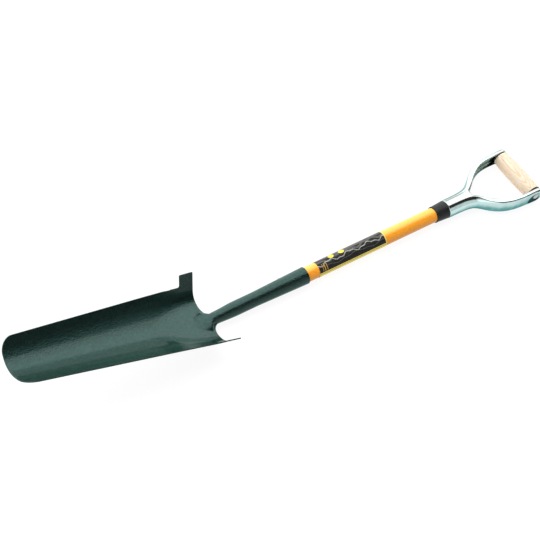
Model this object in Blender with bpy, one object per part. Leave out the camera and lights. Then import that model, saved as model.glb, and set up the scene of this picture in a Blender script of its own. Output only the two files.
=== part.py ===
"""Newcastle shovel: a long narrow pressed blade with two treads, a glass-fibre shaft and a steel Y handle.

The shovel lies trough up with its shaft level along X, the handle towards +X and +Z up. Its origin is
under the middle of its box, on the surface that it lies on. Lengths are in metres.
"""

import math

import bmesh
import bpy
import numpy as np
from mathutils import Vector
from mathutils.geometry import delaunay_2d_cdt

# Clearance between two pieces that touch
GAP = 0.0003

# Blade: places along it are measured from its shoulder, towards the nose being negative
BLADE_LENGTH = 0.4225
NOSE_HALF_WIDTH = 0.0526
NOSE_DEPTH = 0.0253
SHOULDER_HALF_WIDTH = 0.0742
SHOULDER_DEPTH = 0.0291
PLATE = 0.0022
NOSE_CROWN_RADIUS = 0.400
NOSE_CORNER_RADIUS = 0.026
NOSE_FORM = 2.0
SHOULDER_FORM = 5.2
FORM_LENGTH = 0.120
WALL_SLOPE = math.tan(math.radians(56.7))

# Treads: the blade's walls carried on past its edges
TREAD_LENGTH = 0.0316
TREAD_RISE = 0.0217
TREAD_ROOT_RADIUS = 0.0035
TREAD_WAIST = 0.0012
TREAD_WAIST_LENGTH = 0.040
TREAD_CORNER_RADIUS = 0.0020

# Neck and socket: places along the shaft's axis are measured from the shoulder
LIFT = math.radians(18.9)
AXIS_OVER_FLOOR = 0.0027
FROG_LENGTH = 0.040
FROG_TIP_RADIUS = 0.0050
FROG_BLEND = 0.0080
FROG_SINK = 0.0005
FROG_SPREAD = 2.3
FROG_NARROW = 0.0060
FROG_NARROWING = 0.0140
NECK_ROOT = 0.010
NECK_ROOT_RADIUS = 0.0121
NECK_END = 0.060
NECK_RADIUS = 0.0142
CONE_START = 0.102
MOUTH = 0.216
MOUTH_RADIUS = 0.01735
MOUTH_CHAMFER = 0.0006
SOCKET_BORE_END = 0.110
SOCKET_BORE_END_RADIUS = 0.0124
FILLET_ALONG = 0.015
FILLET_ACROSS = 0.026

# Shaft: a glass-fibre tube with a dowel in each end
SHAFT_RADIUS = 0.0150
SHAFT_BORE_RADIUS = 0.0100
SOCKET_DOWEL_END = 0.195

# Label wrapped round the shaft, with its two ends apart on the underside
LABEL_START = 0.2410
LABEL_END = 0.3980
LABEL_THICKNESS = 0.00025
LABEL_HALF_ANGLE = math.radians(150.0)

# Handle: its places along the shaft are all measured from the crotch between its arms
CROTCH = 0.6135
YOKE_NECK_LENGTH = 0.0615
YOKE_BORE_LENGTH = 0.0310
YOKE_START = CROTCH - YOKE_NECK_LENGTH
YOKE_BORE_END = YOKE_START + YOKE_BORE_LENGTH
SHAFT_END_PLAY = 0.0020
SHAFT_END = YOKE_BORE_END - SHAFT_END_PLAY
HANDLE_DOWEL_REACH = 0.0370
HANDLE_DOWEL_START = YOKE_START - HANDLE_DOWEL_REACH

# Collar: a tapered bush that centres the shaft in the handle's neck
COLLAR_LENGTH = 0.0300
COLLAR_START = YOKE_START - COLLAR_LENGTH
COLLAR_THIN_RADIUS = 0.0166
COLLAR_THICK_RADIUS = 0.0184
COLLAR_BEAD = 0.0004
COLLAR_BEAD_LENGTH = 0.0030
SLEEVE_RADIUS = 0.0170
SLEEVE_SETBACK = 0.0010
SLEEVE_END = SHAFT_END - SLEEVE_SETBACK

# Yoke: a hollow pressed neck that splits into two arms, each a channel open to its inner side
YOKE_WALL = 0.0018
YOKE_NECK_RADIUS = 0.0187
FLATTENING_LEAD = 0.0025
FLATTENING_LENGTH = 0.0290
FLATTENING_START = CROTCH - FLATTENING_LEAD
FLATTENING_END = FLATTENING_START + FLATTENING_LENGTH
CROTCH_RADIUS = 0.0035
ARM_DEPTH = 0.0150
ARM_CORNER_RADIUS = 0.0050
OUTER_SETBACK = 0.0268
OUTER_BEND = CROTCH + OUTER_SETBACK
OUTER_EASE = 0.0292
OUTER_LEAN = 0.205
INNER_LEAD = 0.0117
INNER_START = CROTCH - INNER_LEAD
INNER_REACH = 0.0644
INNER_RISE = 1.97
INNER_FULLNESS = 0.73
CHANNEL_SETBACK = 0.0415
CHANNEL_START = CROTCH + CHANNEL_SETBACK
EAR_OUTER_HALF = 0.0644
EAR_INNER_HALF = 0.0550
EAR_RADIUS = 0.0163
DISH_RADIUS = 0.0105
DISH_DEPTH = 0.0024

# Grip, with the rod that is riveted through it
HANDLE_OPENING = 0.1240
GRIP_PLACE = CROTCH + HANDLE_OPENING
GRIP_MIDDLE_RADIUS = 0.0178
GRIP_END_RADIUS = 0.0160
GRIP_END_ROUND = 0.0008
TENON_RADIUS = 0.0125
TENON_LENGTH = 0.0040
ROD_RADIUS = 0.0030
ROD_HEAD_RADIUS = 0.0072
ROD_HEAD_HEIGHT = 0.0026

# Rivets through the socket and through the yoke's neck, each driven in from the left side
RIVET_RADIUS = 0.0024
RIVET_HEAD_RADIUS = 0.0045
RIVET_HEAD_HEIGHT = 0.0014
RIVET_REACH = 0.0070
SOCKET_RIVET_PLACE = 0.165
YOKE_RIVET_PLACE = YOKE_START + 0.0105

SEGMENTS = 40
RING_SPACING = 0.0065
SMOOTH_LIMIT = math.radians(32)


def clear_scene():
    for old in list(bpy.data.objects):
        bpy.data.objects.remove(old, do_unlink=True)


def ease(x):
    """0 below 0, 1 above 1, and a smooth step between."""
    x = np.clip(x, 0.0, 1.0)
    return x * x * (3.0 - 2.0 * x)


def mix(a, b, share):
    return a + (b - a) * share


def material(name, colour, roughness, metallic=0.0):
    made = bpy.data.materials.new(name)
    made.use_nodes = True
    shader = made.node_tree.nodes["Principled BSDF"]
    shader.inputs["Base Color"].default_value = (*colour, 1.0)
    shader.inputs["Roughness"].default_value = roughness
    shader.inputs["Metallic"].default_value = metallic
    return made


def finish_object(name, bm, look=None):
    """Makes an object of a bmesh, faces out, with round faces shaded smooth."""
    bmesh.ops.remove_doubles(bm, verts=bm.verts, dist=1e-7)
    bmesh.ops.recalc_face_normals(bm, faces=bm.faces)
    mesh = bpy.data.meshes.new(name)
    bm.to_mesh(mesh)
    bm.free()
    mesh.shade_smooth()
    mesh.set_sharp_from_angle(angle=SMOOTH_LIMIT)
    made = bpy.data.objects.new(name, mesh)
    bpy.context.collection.objects.link(made)
    if look:
        mesh.materials.append(look)
    return made


def hide_tool(tool):
    """Marks a solid that only cuts or joins another."""
    tool.hide_render = True
    tool.display_type = "WIRE"
    return tool


def combine(body, tool, operation):
    change = body.modifiers.new(f"{operation.lower()} {tool.name}", "BOOLEAN")
    change.operation = operation
    change.solver = "EXACT"
    change.object = tool


def loft(name, rings, look=None):
    """A closed solid through rings that have the same number of points each, with both ends capped."""
    bm = bmesh.new()
    loops = [[bm.verts.new(point) for point in ring] for ring in rings]
    count = len(loops[0])
    for near, far in zip(loops, loops[1:]):
        for i in range(count):
            j = (i + 1) % count
            bm.faces.new((near[i], near[j], far[j], far[i]))
    bm.faces.new(loops[0])
    bm.faces.new(loops[-1])
    return finish_object(name, bm, look)


def turned(name, profile, look=None, axis="X", segments=SEGMENTS, hollow=False):
    """A line of (place, radius) points turned a full circle about X, or about Y.

    A hollow one is turned from the closed outline. The others get flat ends where they stop off the axis.
    """
    bm = bmesh.new()
    along = Vector((1, 0, 0)) if axis == "X" else Vector((0, 1, 0))
    points = [bm.verts.new(along * place + Vector((0, 0, radius))) for place, radius in profile]
    edges = [bm.edges.new(pair) for pair in zip(points, points[1:])]
    if hollow:
        edges.append(bm.edges.new((points[-1], points[0])))
    bmesh.ops.spin(
        bm,
        geom=points + edges,
        cent=(0, 0, 0),
        axis=along,
        angle=math.tau,
        steps=segments,
        use_merge=True,
    )
    bmesh.ops.remove_doubles(bm, verts=bm.verts, dist=1e-7)
    bmesh.ops.holes_fill(bm, edges=bm.edges, sides=0)
    return finish_object(name, bm, look)


def rod_across(name, place, radius, start, end, segments=20):
    """A plain cylinder along Y, at a place on the shaft's axis."""
    made = turned(name, [(start, radius), (end, radius)], axis="Y", segments=segments)
    made.location.x = place
    return made


# The blade's own frame: u along it, v across it, w out of its trough. These take it to the shaft's frame.
def to_shaft_frame(u, v, w):
    height = w - AXIS_OVER_FLOOR
    x = u * math.cos(LIFT) + height * math.sin(LIFT)
    z = height * math.cos(LIFT) - u * math.sin(LIFT)
    return np.stack([x, v, z], axis=-1)


def floor_height(x):
    """Height of the blade's floor in the shaft's frame, under a place on the shaft's axis."""
    return -(AXIS_OVER_FLOOR + x * math.sin(LIFT)) / math.cos(LIFT)


def half_width(u):
    return mix(SHOULDER_HALF_WIDTH, NOSE_HALF_WIDTH, -u / BLADE_LENGTH)


def depth(u):
    return mix(SHOULDER_DEPTH, NOSE_DEPTH, -u / BLADE_LENGTH)


def section_shape(u):
    """Power of the trough's curve, the height that it aims at, and where a straight wall takes over.

    The wall starts where the curve has reached the wall's slope. The aim is set so that the wall's top ends
    at the blade's depth.
    """
    b, h = half_width(u), depth(u)
    power = mix(NOSE_FORM, SHOULDER_FORM, ease(1.0 + u / FORM_LENGTH))
    aim = h
    for _ in range(8):
        knee = np.minimum(1.0, (WALL_SLOPE * b / (power * aim)) ** (1.0 / (power - 1.0)))
        aim = aim * h / (aim * knee**power + (1.0 - knee) * b * WALL_SLOPE)
    return power, aim, knee * b


def edge_across(u):
    """Distance of the blade's edge from its middle, measured along the bent plate past the knee."""
    power, aim, knee = section_shape(u)
    b = half_width(u)
    slope = power * aim / b * (knee / b) ** (power - 1.0)
    return knee + (b - knee) * math.sqrt(1.0 + slope**2)


def section(u, across):
    """The trough's outer face: height rising as a power of the distance across, then a straight wall.

    Gives v, w and the face's normal (nv, nw) there.
    """
    b = half_width(u)
    power, aim, knee = section_shape(u)
    side = np.sign(across)
    inside = np.minimum(np.abs(across), knee)
    past = np.abs(across) - inside
    slope = power * aim / b * (inside / b) ** (power - 1.0)
    run = 1.0 / np.sqrt(1.0 + slope**2)
    v = side * (inside + past * run)
    w = aim * (inside / b) ** power + past * slope * run
    return v, w, -side * slope * run, run


def neck_radius(x):
    """Radius of the neck and socket at a place on the shaft's axis, and of the crest ahead of them."""
    if x < NECK_ROOT:
        share = ease((x + FROG_LENGTH) / (NECK_ROOT + FROG_LENGTH))
        return float(mix(FROG_TIP_RADIUS, NECK_ROOT_RADIUS, share))
    if x < CONE_START:
        return float(mix(NECK_ROOT_RADIUS, NECK_RADIUS, ease((x - NECK_ROOT) / (NECK_END - NECK_ROOT))))
    return mix(NECK_RADIUS, MOUTH_RADIUS, (x - CONE_START) / (MOUTH - CONE_START))


def neck_ring(x, radius):
    """Centre height and radius of the solid neck, which closes down on to the blade's back."""
    if x >= NECK_ROOT:
        return 0.0, radius
    floor = floor_height(x)
    share = (x + FROG_LENGTH) / (NECK_ROOT + FROG_LENGTH)
    root_drop = NECK_ROOT_RADIUS + floor_height(NECK_ROOT)
    drop = mix(FROG_SINK, root_drop, share**2)
    rise = max(radius - floor - PLATE, PLATE / 2)
    rise = mix(rise, radius - floor, ease(share * 3 - 2))
    return floor + (rise - drop) / 2, (rise + drop) / 2


def crest_height(u, v):
    """Height, in the blade's frame, of the neck's top where it spreads and runs down into the trough."""
    radius = np.array([neck_radius(k * math.cos(LIFT)) for k in u])
    wide = radius * mix(1.0, FROG_SPREAD, ease((FROG_NARROW - u) / FROG_NARROWING))
    round_top = radius * np.sqrt(np.maximum(1.0 - (v / wide) ** 2, 0.0))
    beside = np.maximum(np.abs(v) - wide, 0.0)
    return AXIS_OVER_FLOOR + (round_top + u * math.sin(LIFT)) / math.cos(LIFT) - beside - FROG_SINK


def smooth_maximum(a, b, blend):
    share = np.clip(0.5 + (b - a) / (2 * blend), 0.0, 1.0)
    return mix(a, b, share) + blend * share * (1.0 - share)


def arc(centre, radius, start, end, steps):
    angles = np.radians(np.linspace(start, end, steps + 1))
    return [(centre[0] + radius * math.cos(a), centre[1] + radius * math.sin(a)) for a in angles]


def blade_outline():
    """Half of the blank's outline, nose to neck, as (u, distance across) points."""
    crown_end = NOSE_HALF_WIDTH - NOSE_CORNER_RADIUS
    crown_angle = math.degrees(math.asin(crown_end / NOSE_CROWN_RADIUS))
    half = arc((NOSE_CROWN_RADIUS - BLADE_LENGTH, 0), NOSE_CROWN_RADIUS, 180, 180 - crown_angle, 3)
    corner_u = half[-1][0] + NOSE_CORNER_RADIUS
    corner_v = edge_across(corner_u) - NOSE_CORNER_RADIUS
    half += arc((corner_u, corner_v), NOSE_CORNER_RADIUS, 178, 92, 7)
    straight_end = -TREAD_LENGTH - TREAD_ROOT_RADIUS
    for u in np.linspace(half[-1][0], straight_end, 26)[1:-1]:
        waist = TREAD_WAIST * ease(1.0 + (u - straight_end) / TREAD_WAIST_LENGTH)
        half.append((u, edge_across(u) - waist))
    edge = edge_across(-TREAD_LENGTH) - TREAD_WAIST
    half += arc((straight_end, edge + TREAD_ROOT_RADIUS), TREAD_ROOT_RADIUS, -90, 0, 3)
    top = edge_across(-TREAD_LENGTH) + TREAD_RISE
    corner = (TREAD_CORNER_RADIUS - TREAD_LENGTH, top - TREAD_CORNER_RADIUS)
    half += arc(corner, TREAD_CORNER_RADIUS, 180, 90, 2)
    half.append((0.0, edge_across(0.0) + TREAD_RISE))
    fillet_start = NECK_ROOT_RADIUS + FILLET_ACROSS
    for across in np.linspace(half[-1][1], fillet_start, 12)[1:]:
        half.append((0.0, across))
    for angle in np.radians(np.linspace(0, 90, 8))[1:]:
        half.append((FILLET_ALONG * (1 - math.cos(angle)), fillet_start - FILLET_ACROSS * math.sin(angle)))
    half.append((FILLET_ALONG, NECK_ROOT_RADIUS / 2))
    return half


def blade_points():
    """The outline, and points spread inside it, coarse along the trough and fine round the neck."""
    half = blade_outline()
    outline = half + [(FILLET_ALONG, 0.0)] + [(u, -across) for u, across in reversed(half[1:])]
    shares = (0.14, 0.28, 0.42, 0.54, 0.65, 0.75, 0.84, 0.92)
    columns = (0.0, *shares, *(-share for share in shares))
    inner = []
    margin = 0.004
    rows = int(BLADE_LENGTH / 0.015)
    for u in np.linspace(-BLADE_LENGTH + margin, -margin, rows):
        inner += [(u, share * edge_across(u)) for share in columns]
    neck = 2.2 * NECK_ROOT_RADIUS
    for u in np.linspace(-FROG_LENGTH, FILLET_ALONG - margin, 13):
        inner += [(u, across) for across in np.linspace(-neck, neck, 15)]
    return outline, inner


def inside_outline(point, outline, margin):
    """Is a point inside the outline, and further than the margin from each of its edges?"""
    polygon = np.array(outline)
    a, b = polygon, np.roll(polygon, -1, axis=0)
    p = np.array(point)
    spans = (a[:, 1] > p[1]) != (b[:, 1] > p[1])
    rise = np.where(spans, b[:, 1] - a[:, 1], 1.0)
    crossing = a[:, 0] + (p[1] - a[:, 1]) * (b[:, 0] - a[:, 0]) / rise
    odd = np.count_nonzero(spans & (crossing > p[0])) % 2
    along = b - a
    share = np.clip(((p - a) * along).sum(1) / np.maximum((along**2).sum(1), 1e-18), 0, 1)
    nearest = np.linalg.norm(a + along * share[:, None] - p, axis=1).min()
    return bool(odd) and nearest > margin


def make_blade_plate():
    """The pressed plate: its flat outline filled with triangles, bent to the trough and made thick."""
    outline, inner = blade_points()
    points = outline + [p for p in inner if inside_outline(p, outline, 0.0017)]
    count = len(outline)
    edges = [(i, (i + 1) % count) for i in range(count)]
    flat, _, triangles, *_ = delaunay_2d_cdt([Vector(p) for p in points], edges, [], 1, 1e-6)
    u = np.array([p[0] for p in flat])
    across = np.array([p[1] for p in flat])
    v, w, nv, nw = section(u, across)
    face_v, face_w = v + PLATE * nv, w + PLATE * nw
    face = to_shaft_frame(u, face_v, smooth_maximum(face_w, crest_height(u, face_v), FROG_BLEND))
    back = to_shaft_frame(u, v, w)
    bm = bmesh.new()
    top = [bm.verts.new(p) for p in face]
    under = [bm.verts.new(p) for p in back]
    for a, b, c in triangles:
        bm.faces.new((top[a], top[b], top[c]))
        bm.faces.new((under[c], under[b], under[a]))
    bm.verts.index_update()
    rim = [edge for edge in bm.edges if edge.is_boundary and edge.verts[0].index < len(top)]
    for edge in rim:
        i, j = edge.verts[0].index, edge.verts[1].index
        bm.faces.new((top[i], top[j], under[j], under[i]))
    return finish_object("blade_plate_tool", bm)


def make_blade(look):
    """Plate, frog, neck and socket forged as one piece, with the socket bored for the shaft."""
    places = [*np.linspace(-FROG_LENGTH, NECK_ROOT, 9), *np.linspace(NECK_ROOT, CONE_START, 8)[1:]]
    places += [*np.linspace(CONE_START, MOUTH - MOUTH_CHAMFER, 5)[1:], MOUTH]
    angles = np.linspace(0, math.tau, SEGMENTS, endpoint=False)
    rings = []
    for x in places:
        centre, radius = neck_ring(x, neck_radius(x) - (MOUTH_CHAMFER if x == MOUTH else 0.0))
        ring = [(x, radius * math.cos(a), centre + radius * math.sin(a)) for a in angles]
        rings.append(ring)
    blade = loft("blade", rings, look)
    plate = hide_tool(make_blade_plate())
    combine(blade, plate, "UNION")
    bore = [(SOCKET_BORE_END, SOCKET_BORE_END_RADIUS), (MOUTH, SHAFT_RADIUS + GAP)]
    bore.append((MOUTH + PLATE, SHAFT_RADIUS + GAP))
    combine(blade, hide_tool(turned("socket_bore_tool", bore)), "DIFFERENCE")
    return blade


def make_shaft(look):
    """The tube, turned down to a taper where it seats in the socket."""
    taper_end = SOCKET_BORE_END + PLATE
    seat = mix(SOCKET_BORE_END_RADIUS, SHAFT_RADIUS + GAP, PLATE / (MOUTH - SOCKET_BORE_END)) - GAP
    outline = [
        (taper_end, SHAFT_BORE_RADIUS),
        (taper_end, seat),
        (MOUTH, SHAFT_RADIUS),
        (SHAFT_END, SHAFT_RADIUS),
        (SHAFT_END, SHAFT_BORE_RADIUS),
    ]
    return turned("shaft_tube", outline, look, hollow=True)


def make_dowel(name, start, end, look):
    radius = SHAFT_BORE_RADIUS - GAP
    return turned(name, [(start, radius), (end, radius)], look, segments=24)


def make_label(look):
    """A thin sheet wrapped round the shaft, whose ends leave a gap underneath."""
    inner = SHAFT_RADIUS + GAP
    outer = inner + LABEL_THICKNESS
    rings = []
    for angle in np.linspace(-LABEL_HALF_ANGLE, LABEL_HALF_ANGLE, 31):
        y, z = math.sin(angle), math.cos(angle)
        corners = ((LABEL_START, inner), (LABEL_END, inner), (LABEL_END, outer), (LABEL_START, outer))
        rings.append([(x, radius * y, radius * z) for x, radius in corners])
    return loft("shaft_label", rings, look)


def make_collar(look):
    """The bush: a beaded cone outside, and a plain sleeve inside the yoke's neck."""
    bore = SHAFT_RADIUS + GAP
    seat = YOKE_START - GAP
    bead = COLLAR_THIN_RADIUS + COLLAR_BEAD
    outline = [
        (COLLAR_START, bore),
        (COLLAR_START, COLLAR_THIN_RADIUS),
        (COLLAR_START + COLLAR_BEAD_LENGTH / 4, bead),
        (COLLAR_START + COLLAR_BEAD_LENGTH * 3 / 4, bead),
        (COLLAR_START + COLLAR_BEAD_LENGTH, COLLAR_THIN_RADIUS),
        (seat, COLLAR_THICK_RADIUS),
        (seat, SLEEVE_RADIUS),
        (SLEEVE_END, SLEEVE_RADIUS),
        (SLEEVE_END, bore),
    ]
    return turned("handle_collar", outline, look, hollow=True)


def arm_outer(x):
    """Distance of the handle's outer side from the axis: an S curve, leaning so that it starts sharply."""
    turn = (x - OUTER_BEND) / OUTER_EASE
    turn /= 1 + OUTER_LEAN * math.tanh(turn)
    return mix(YOKE_NECK_RADIUS, EAR_OUTER_HALF, (1 + math.tanh(turn)) / 2)


def arm_inner(x):
    """Distance of the arms' inner side from the axis."""
    reach = max(x - INNER_START, 0.0) / INNER_REACH
    return EAR_INNER_HALF * math.tanh(reach**INNER_RISE) ** INNER_FULLNESS


def yoke_depth(x):
    """Half the height of the yoke: round at the neck, shallower on the arms, deeper at the ears."""
    neck = ease((x - FLATTENING_START) / (FLATTENING_END - FLATTENING_START))
    ear = ease((x - GRIP_PLACE + 2 * EAR_RADIUS) / (2 * EAR_RADIUS))
    return float(mix(YOKE_NECK_RADIUS, ARM_DEPTH, neck) + (EAR_RADIUS - ARM_DEPTH) * ear)


def yoke_corner(x):
    share = ease((x - FLATTENING_START) / (FLATTENING_END - FLATTENING_START))
    return float(mix(YOKE_NECK_RADIUS, ARM_CORNER_RADIUS, share))


def rounded_ring(x, outer, inner, half_depth, corner, steps=5):
    """A rectangle with round corners at one place along the shaft, from outer to inner across."""
    centre, reach = (outer + inner) / 2, abs(outer - inner) / 2
    corner = min(corner, 0.98 * reach, 0.98 * half_depth)
    ring = []
    for start, side, up in ((0, 1, 1), (90, -1, 1), (180, -1, -1), (270, 1, -1)):
        for angle in np.radians(np.linspace(start, start + 90, steps + 1)):
            y = centre + side * (reach - corner) + corner * math.cos(angle)
            ring.append((x, y, up * (half_depth - corner) + corner * math.sin(angle)))
    return ring


def handle_rings(start, end, inset, span):
    """Rings along the handle, which close round the end of its ears if they run as far as the grip.

    Inset is how far they lie within its outside, and span gives their two sides at a place. Where a span
    has no room for the round corner of the outside, its rings are lower, so that they stay within it.
    """
    rings = []
    count = 2 + round((end - start) / RING_SPACING)
    for x in np.linspace(start, end, count):
        outer, inner = span(x)
        corner = max(yoke_corner(x) - inset, YOKE_WALL)
        lower = max(corner - (outer - inner) / 2, 0.0)
        rings.append(rounded_ring(x, outer, inner, yoke_depth(x) - inset - lower, corner))
    if end < GRIP_PLACE:
        return rings
    radius = EAR_RADIUS - inset
    for angle in np.radians((20, 40, 56, 70, 82)):
        corner = max(ARM_CORNER_RADIUS - inset, YOKE_WALL)
        ring = rounded_ring(GRIP_PLACE, *span(GRIP_PLACE), radius * math.cos(angle), corner)
        rings.append([(x + radius * math.sin(angle), y, z) for x, y, z in ring])
    return rings


def make_opening():
    """The gap between the arms, from its round crotch out past the ears, as one upright prism."""
    start = CROTCH + CROTCH_RADIUS
    side = arm_inner(start)
    turn = np.radians(range(9, 90, 9))
    outline = [(start - CROTCH_RADIUS * math.cos(a), side * math.sin(a)) for a in turn]
    outline += [(x, arm_inner(x)) for x in np.linspace(start, GRIP_PLACE + 2 * EAR_RADIUS, 32)]
    outline = [(CROTCH, 0.0)] + outline + [(x, -y) for x, y in reversed(outline)]
    reach = 2 * ARM_DEPTH
    return loft("opening_tool", [[(x, y, z) for x, y in outline] for z in (-reach, reach)])


def make_yoke(look, rivet_hole):
    """The pressed handle: bored neck, arms parted and hollowed, and ears dished round the rod's heads."""
    rings = handle_rings(YOKE_START, GRIP_PLACE, 0.0, lambda x: (arm_outer(x), -arm_outer(x)))
    yoke = loft("yoke", rings, look)
    combine(yoke, hide_tool(make_opening()), "DIFFERENCE")
    bore_radius = SLEEVE_RADIUS + GAP
    bore = [(YOKE_START - PLATE, bore_radius), (YOKE_BORE_END, bore_radius)]
    combine(yoke, hide_tool(turned("yoke_bore_tool", bore)), "DIFFERENCE")
    combine(yoke, rivet_hole, "DIFFERENCE")

    def hollow_neck(x):
        return arm_outer(x) - YOKE_WALL, YOKE_WALL - arm_outer(x)

    def channel(x):
        inner = max(arm_inner(x) + YOKE_WALL, YOKE_WALL / 2)
        opens = float(ease((x - CHANNEL_START) / ARM_CORNER_RADIUS))
        return arm_outer(x) - YOKE_WALL, mix(inner, arm_inner(x) - 2 * YOKE_WALL, opens)

    rings = handle_rings(YOKE_BORE_END - PLATE, CROTCH - 2 * YOKE_WALL, YOKE_WALL, hollow_neck)
    combine(yoke, hide_tool(loft("neck_core_tool", rings)), "DIFFERENCE")
    rings = handle_rings(CROTCH - 4 * YOKE_WALL, GRIP_PLACE, YOKE_WALL, channel)
    face = arm_outer(GRIP_PLACE)
    floor = face - DISH_DEPTH
    hole = ROD_RADIUS + GAP
    boss = [(floor - YOKE_WALL, hole), (floor - YOKE_WALL, DISH_RADIUS)]
    boss += [(face - YOKE_WALL / 2, DISH_RADIUS + YOKE_WALL), (face - YOKE_WALL / 2, hole)]
    dish = [(floor, DISH_RADIUS - DISH_DEPTH), (face + PLATE, DISH_RADIUS + PLATE)]
    for name, side in (("left", 1), ("right", -1)):
        core = loft(f"{name}_core_tool", rings)
        bossing = turned(f"{name}_boss_tool", boss, axis="Y", segments=28, hollow=True)
        dishing = turned(f"{name}_dish_tool", dish, axis="Y", segments=28)
        for tool, operation in ((core, "DIFFERENCE"), (bossing, "UNION"), (dishing, "DIFFERENCE")):
            tool.scale.y = side
            combine(yoke, hide_tool(tool), operation)
        bossing.location.x = GRIP_PLACE
        dishing.location.x = GRIP_PLACE
    return yoke


def make_grip(look):
    """The barrel-shaped hand grip, bored for its rod."""
    end = arm_inner(GRIP_PLACE) - GAP
    bore = ROD_RADIUS + GAP
    tenon = end + TENON_LENGTH
    shoulder = GRIP_END_RADIUS - GRIP_END_ROUND
    outline = [(-tenon, bore), (-tenon, TENON_RADIUS), (-end, TENON_RADIUS), (-end, shoulder)]
    for y in np.linspace(-1, 1, 13):
        radius = mix(GRIP_MIDDLE_RADIUS, GRIP_END_RADIUS, y * y)
        outline.append((y * (end - GRIP_END_ROUND), radius))
    outline += [(end, shoulder), (end, TENON_RADIUS), (tenon, TENON_RADIUS), (tenon, bore)]
    grip = turned("grip", outline, look, axis="Y", hollow=True)
    grip.location.x = GRIP_PLACE
    return grip


def dome(base, radius, height, direction, steps=4):
    """Half of a rivet head's outline, from its rim to its crown, seated on base."""
    points = []
    for angle in np.radians(np.linspace(15, 90, steps + 1)):
        points.append((base + direction * height * math.sin(angle), radius * math.cos(angle)))
    points[-1] = (points[-1][0], 0.0)
    return points


def make_rod(look):
    """The rod through the grip, riveted over in both ears' dishes."""
    seat = arm_outer(GRIP_PLACE) - DISH_DEPTH + GAP
    right = dome(-seat, ROD_HEAD_RADIUS, ROD_HEAD_HEIGHT, -1)[::-1]
    right += [(-seat, ROD_HEAD_RADIUS), (-seat, ROD_RADIUS)]
    left = [(seat, ROD_RADIUS), (seat, ROD_HEAD_RADIUS)] + dome(seat, ROD_HEAD_RADIUS, ROD_HEAD_HEIGHT, 1)
    rod = turned("grip_rod", right + left, look, axis="Y", segments=24)
    rod.location.x = GRIP_PLACE
    return rod


def make_rivet(name, place, seat, look):
    """A blind rivet with a domed head on the left side, at a place on the shaft's axis."""
    outline = [(-RIVET_REACH, RIVET_RADIUS), (seat, RIVET_RADIUS), (seat, RIVET_HEAD_RADIUS)]
    outline += dome(seat, RIVET_HEAD_RADIUS, RIVET_HEAD_HEIGHT, 1)
    rivet = turned(name, outline, look, axis="Y", segments=20)
    rivet.location.x = place
    return rivet


def make_rivet_hole(name, place):
    return hide_tool(rod_across(name, place, RIVET_RADIUS + GAP, -RIVET_REACH - GAP, 2 * YOKE_NECK_RADIUS))


def stand_on_origin(pieces):
    """Parents every piece to one empty, which puts the box's lowest middle point on the origin."""
    frame = bpy.data.objects.new("shovel", None)
    bpy.context.collection.objects.link(frame)
    for made in bpy.context.collection.objects:
        if made is not frame:
            made.parent = frame
    bpy.context.view_layer.update()
    graph = bpy.context.evaluated_depsgraph_get()
    corners = []
    for piece in pieces:
        shown = piece.evaluated_get(graph)
        mesh = shown.to_mesh()
        points = np.empty(3 * len(mesh.vertices), dtype=np.float32)
        mesh.vertices.foreach_get("co", points)
        place = np.array(piece.matrix_world)
        points = points.reshape(-1, 3) @ place[:3, :3].T + place[:3, 3]
        corners += [points.min(axis=0), points.max(axis=0)]
        shown.to_mesh_clear()
    low, high = np.min(corners, axis=0), np.max(corners, axis=0)
    frame.location = (-(low[0] + high[0]) / 2, -(low[1] + high[1]) / 2, -low[2])
    bpy.context.view_layer.update()
    print("box", high - low, "frame at", tuple(frame.location))


def build():
    clear_scene()
    green = material("green_paint", (0.050, 0.105, 0.095), 0.45)
    yellow = material("yellow_glass_fibre", (0.850, 0.380, 0.040), 0.30)
    ink = material("printed_label", (0.030, 0.030, 0.028), 0.40)
    black = material("black_plastic", (0.020, 0.021, 0.022), 0.50)
    zinc = material("bright_zinc", (0.720, 0.760, 0.750), 0.22, 1.0)
    ash = material("bare_ash", (0.800, 0.640, 0.460), 0.60)
    pine = material("softwood_dowel", (0.700, 0.520, 0.330), 0.70)
    steel = material("rivet_steel", (0.550, 0.560, 0.570), 0.35, 1.0)

    socket_hole = make_rivet_hole("socket_rivet_hole_tool", SOCKET_RIVET_PLACE)
    yoke_hole = make_rivet_hole("yoke_rivet_hole_tool", YOKE_RIVET_PLACE)
    blade = make_blade(green)
    shaft = make_shaft(yellow)
    label = make_label(ink)
    collar = make_collar(black)
    yoke = make_yoke(zinc, yoke_hole)
    grip = make_grip(ash)
    rod = make_rod(steel)
    socket_dowel = make_dowel("socket_dowel", SOCKET_BORE_END + PLATE, SOCKET_DOWEL_END, pine)
    handle_dowel = make_dowel("handle_dowel", HANDLE_DOWEL_START, SHAFT_END - PLATE, pine)
    for body in (blade, shaft, socket_dowel):
        combine(body, socket_hole, "DIFFERENCE")
    for body in (collar, shaft, handle_dowel):
        combine(body, yoke_hole, "DIFFERENCE")
    socket_seat = neck_radius(SOCKET_RIVET_PLACE) + GAP
    socket_rivet = make_rivet("socket_rivet", SOCKET_RIVET_PLACE, socket_seat, steel)
    yoke_rivet = make_rivet("yoke_rivet", YOKE_RIVET_PLACE, arm_outer(YOKE_RIVET_PLACE) + GAP, steel)
    fittings = (rod, socket_dowel, handle_dowel, socket_rivet, yoke_rivet)
    stand_on_origin((blade, shaft, label, collar, yoke, grip, *fittings))


build()
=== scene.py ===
import math

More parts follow.
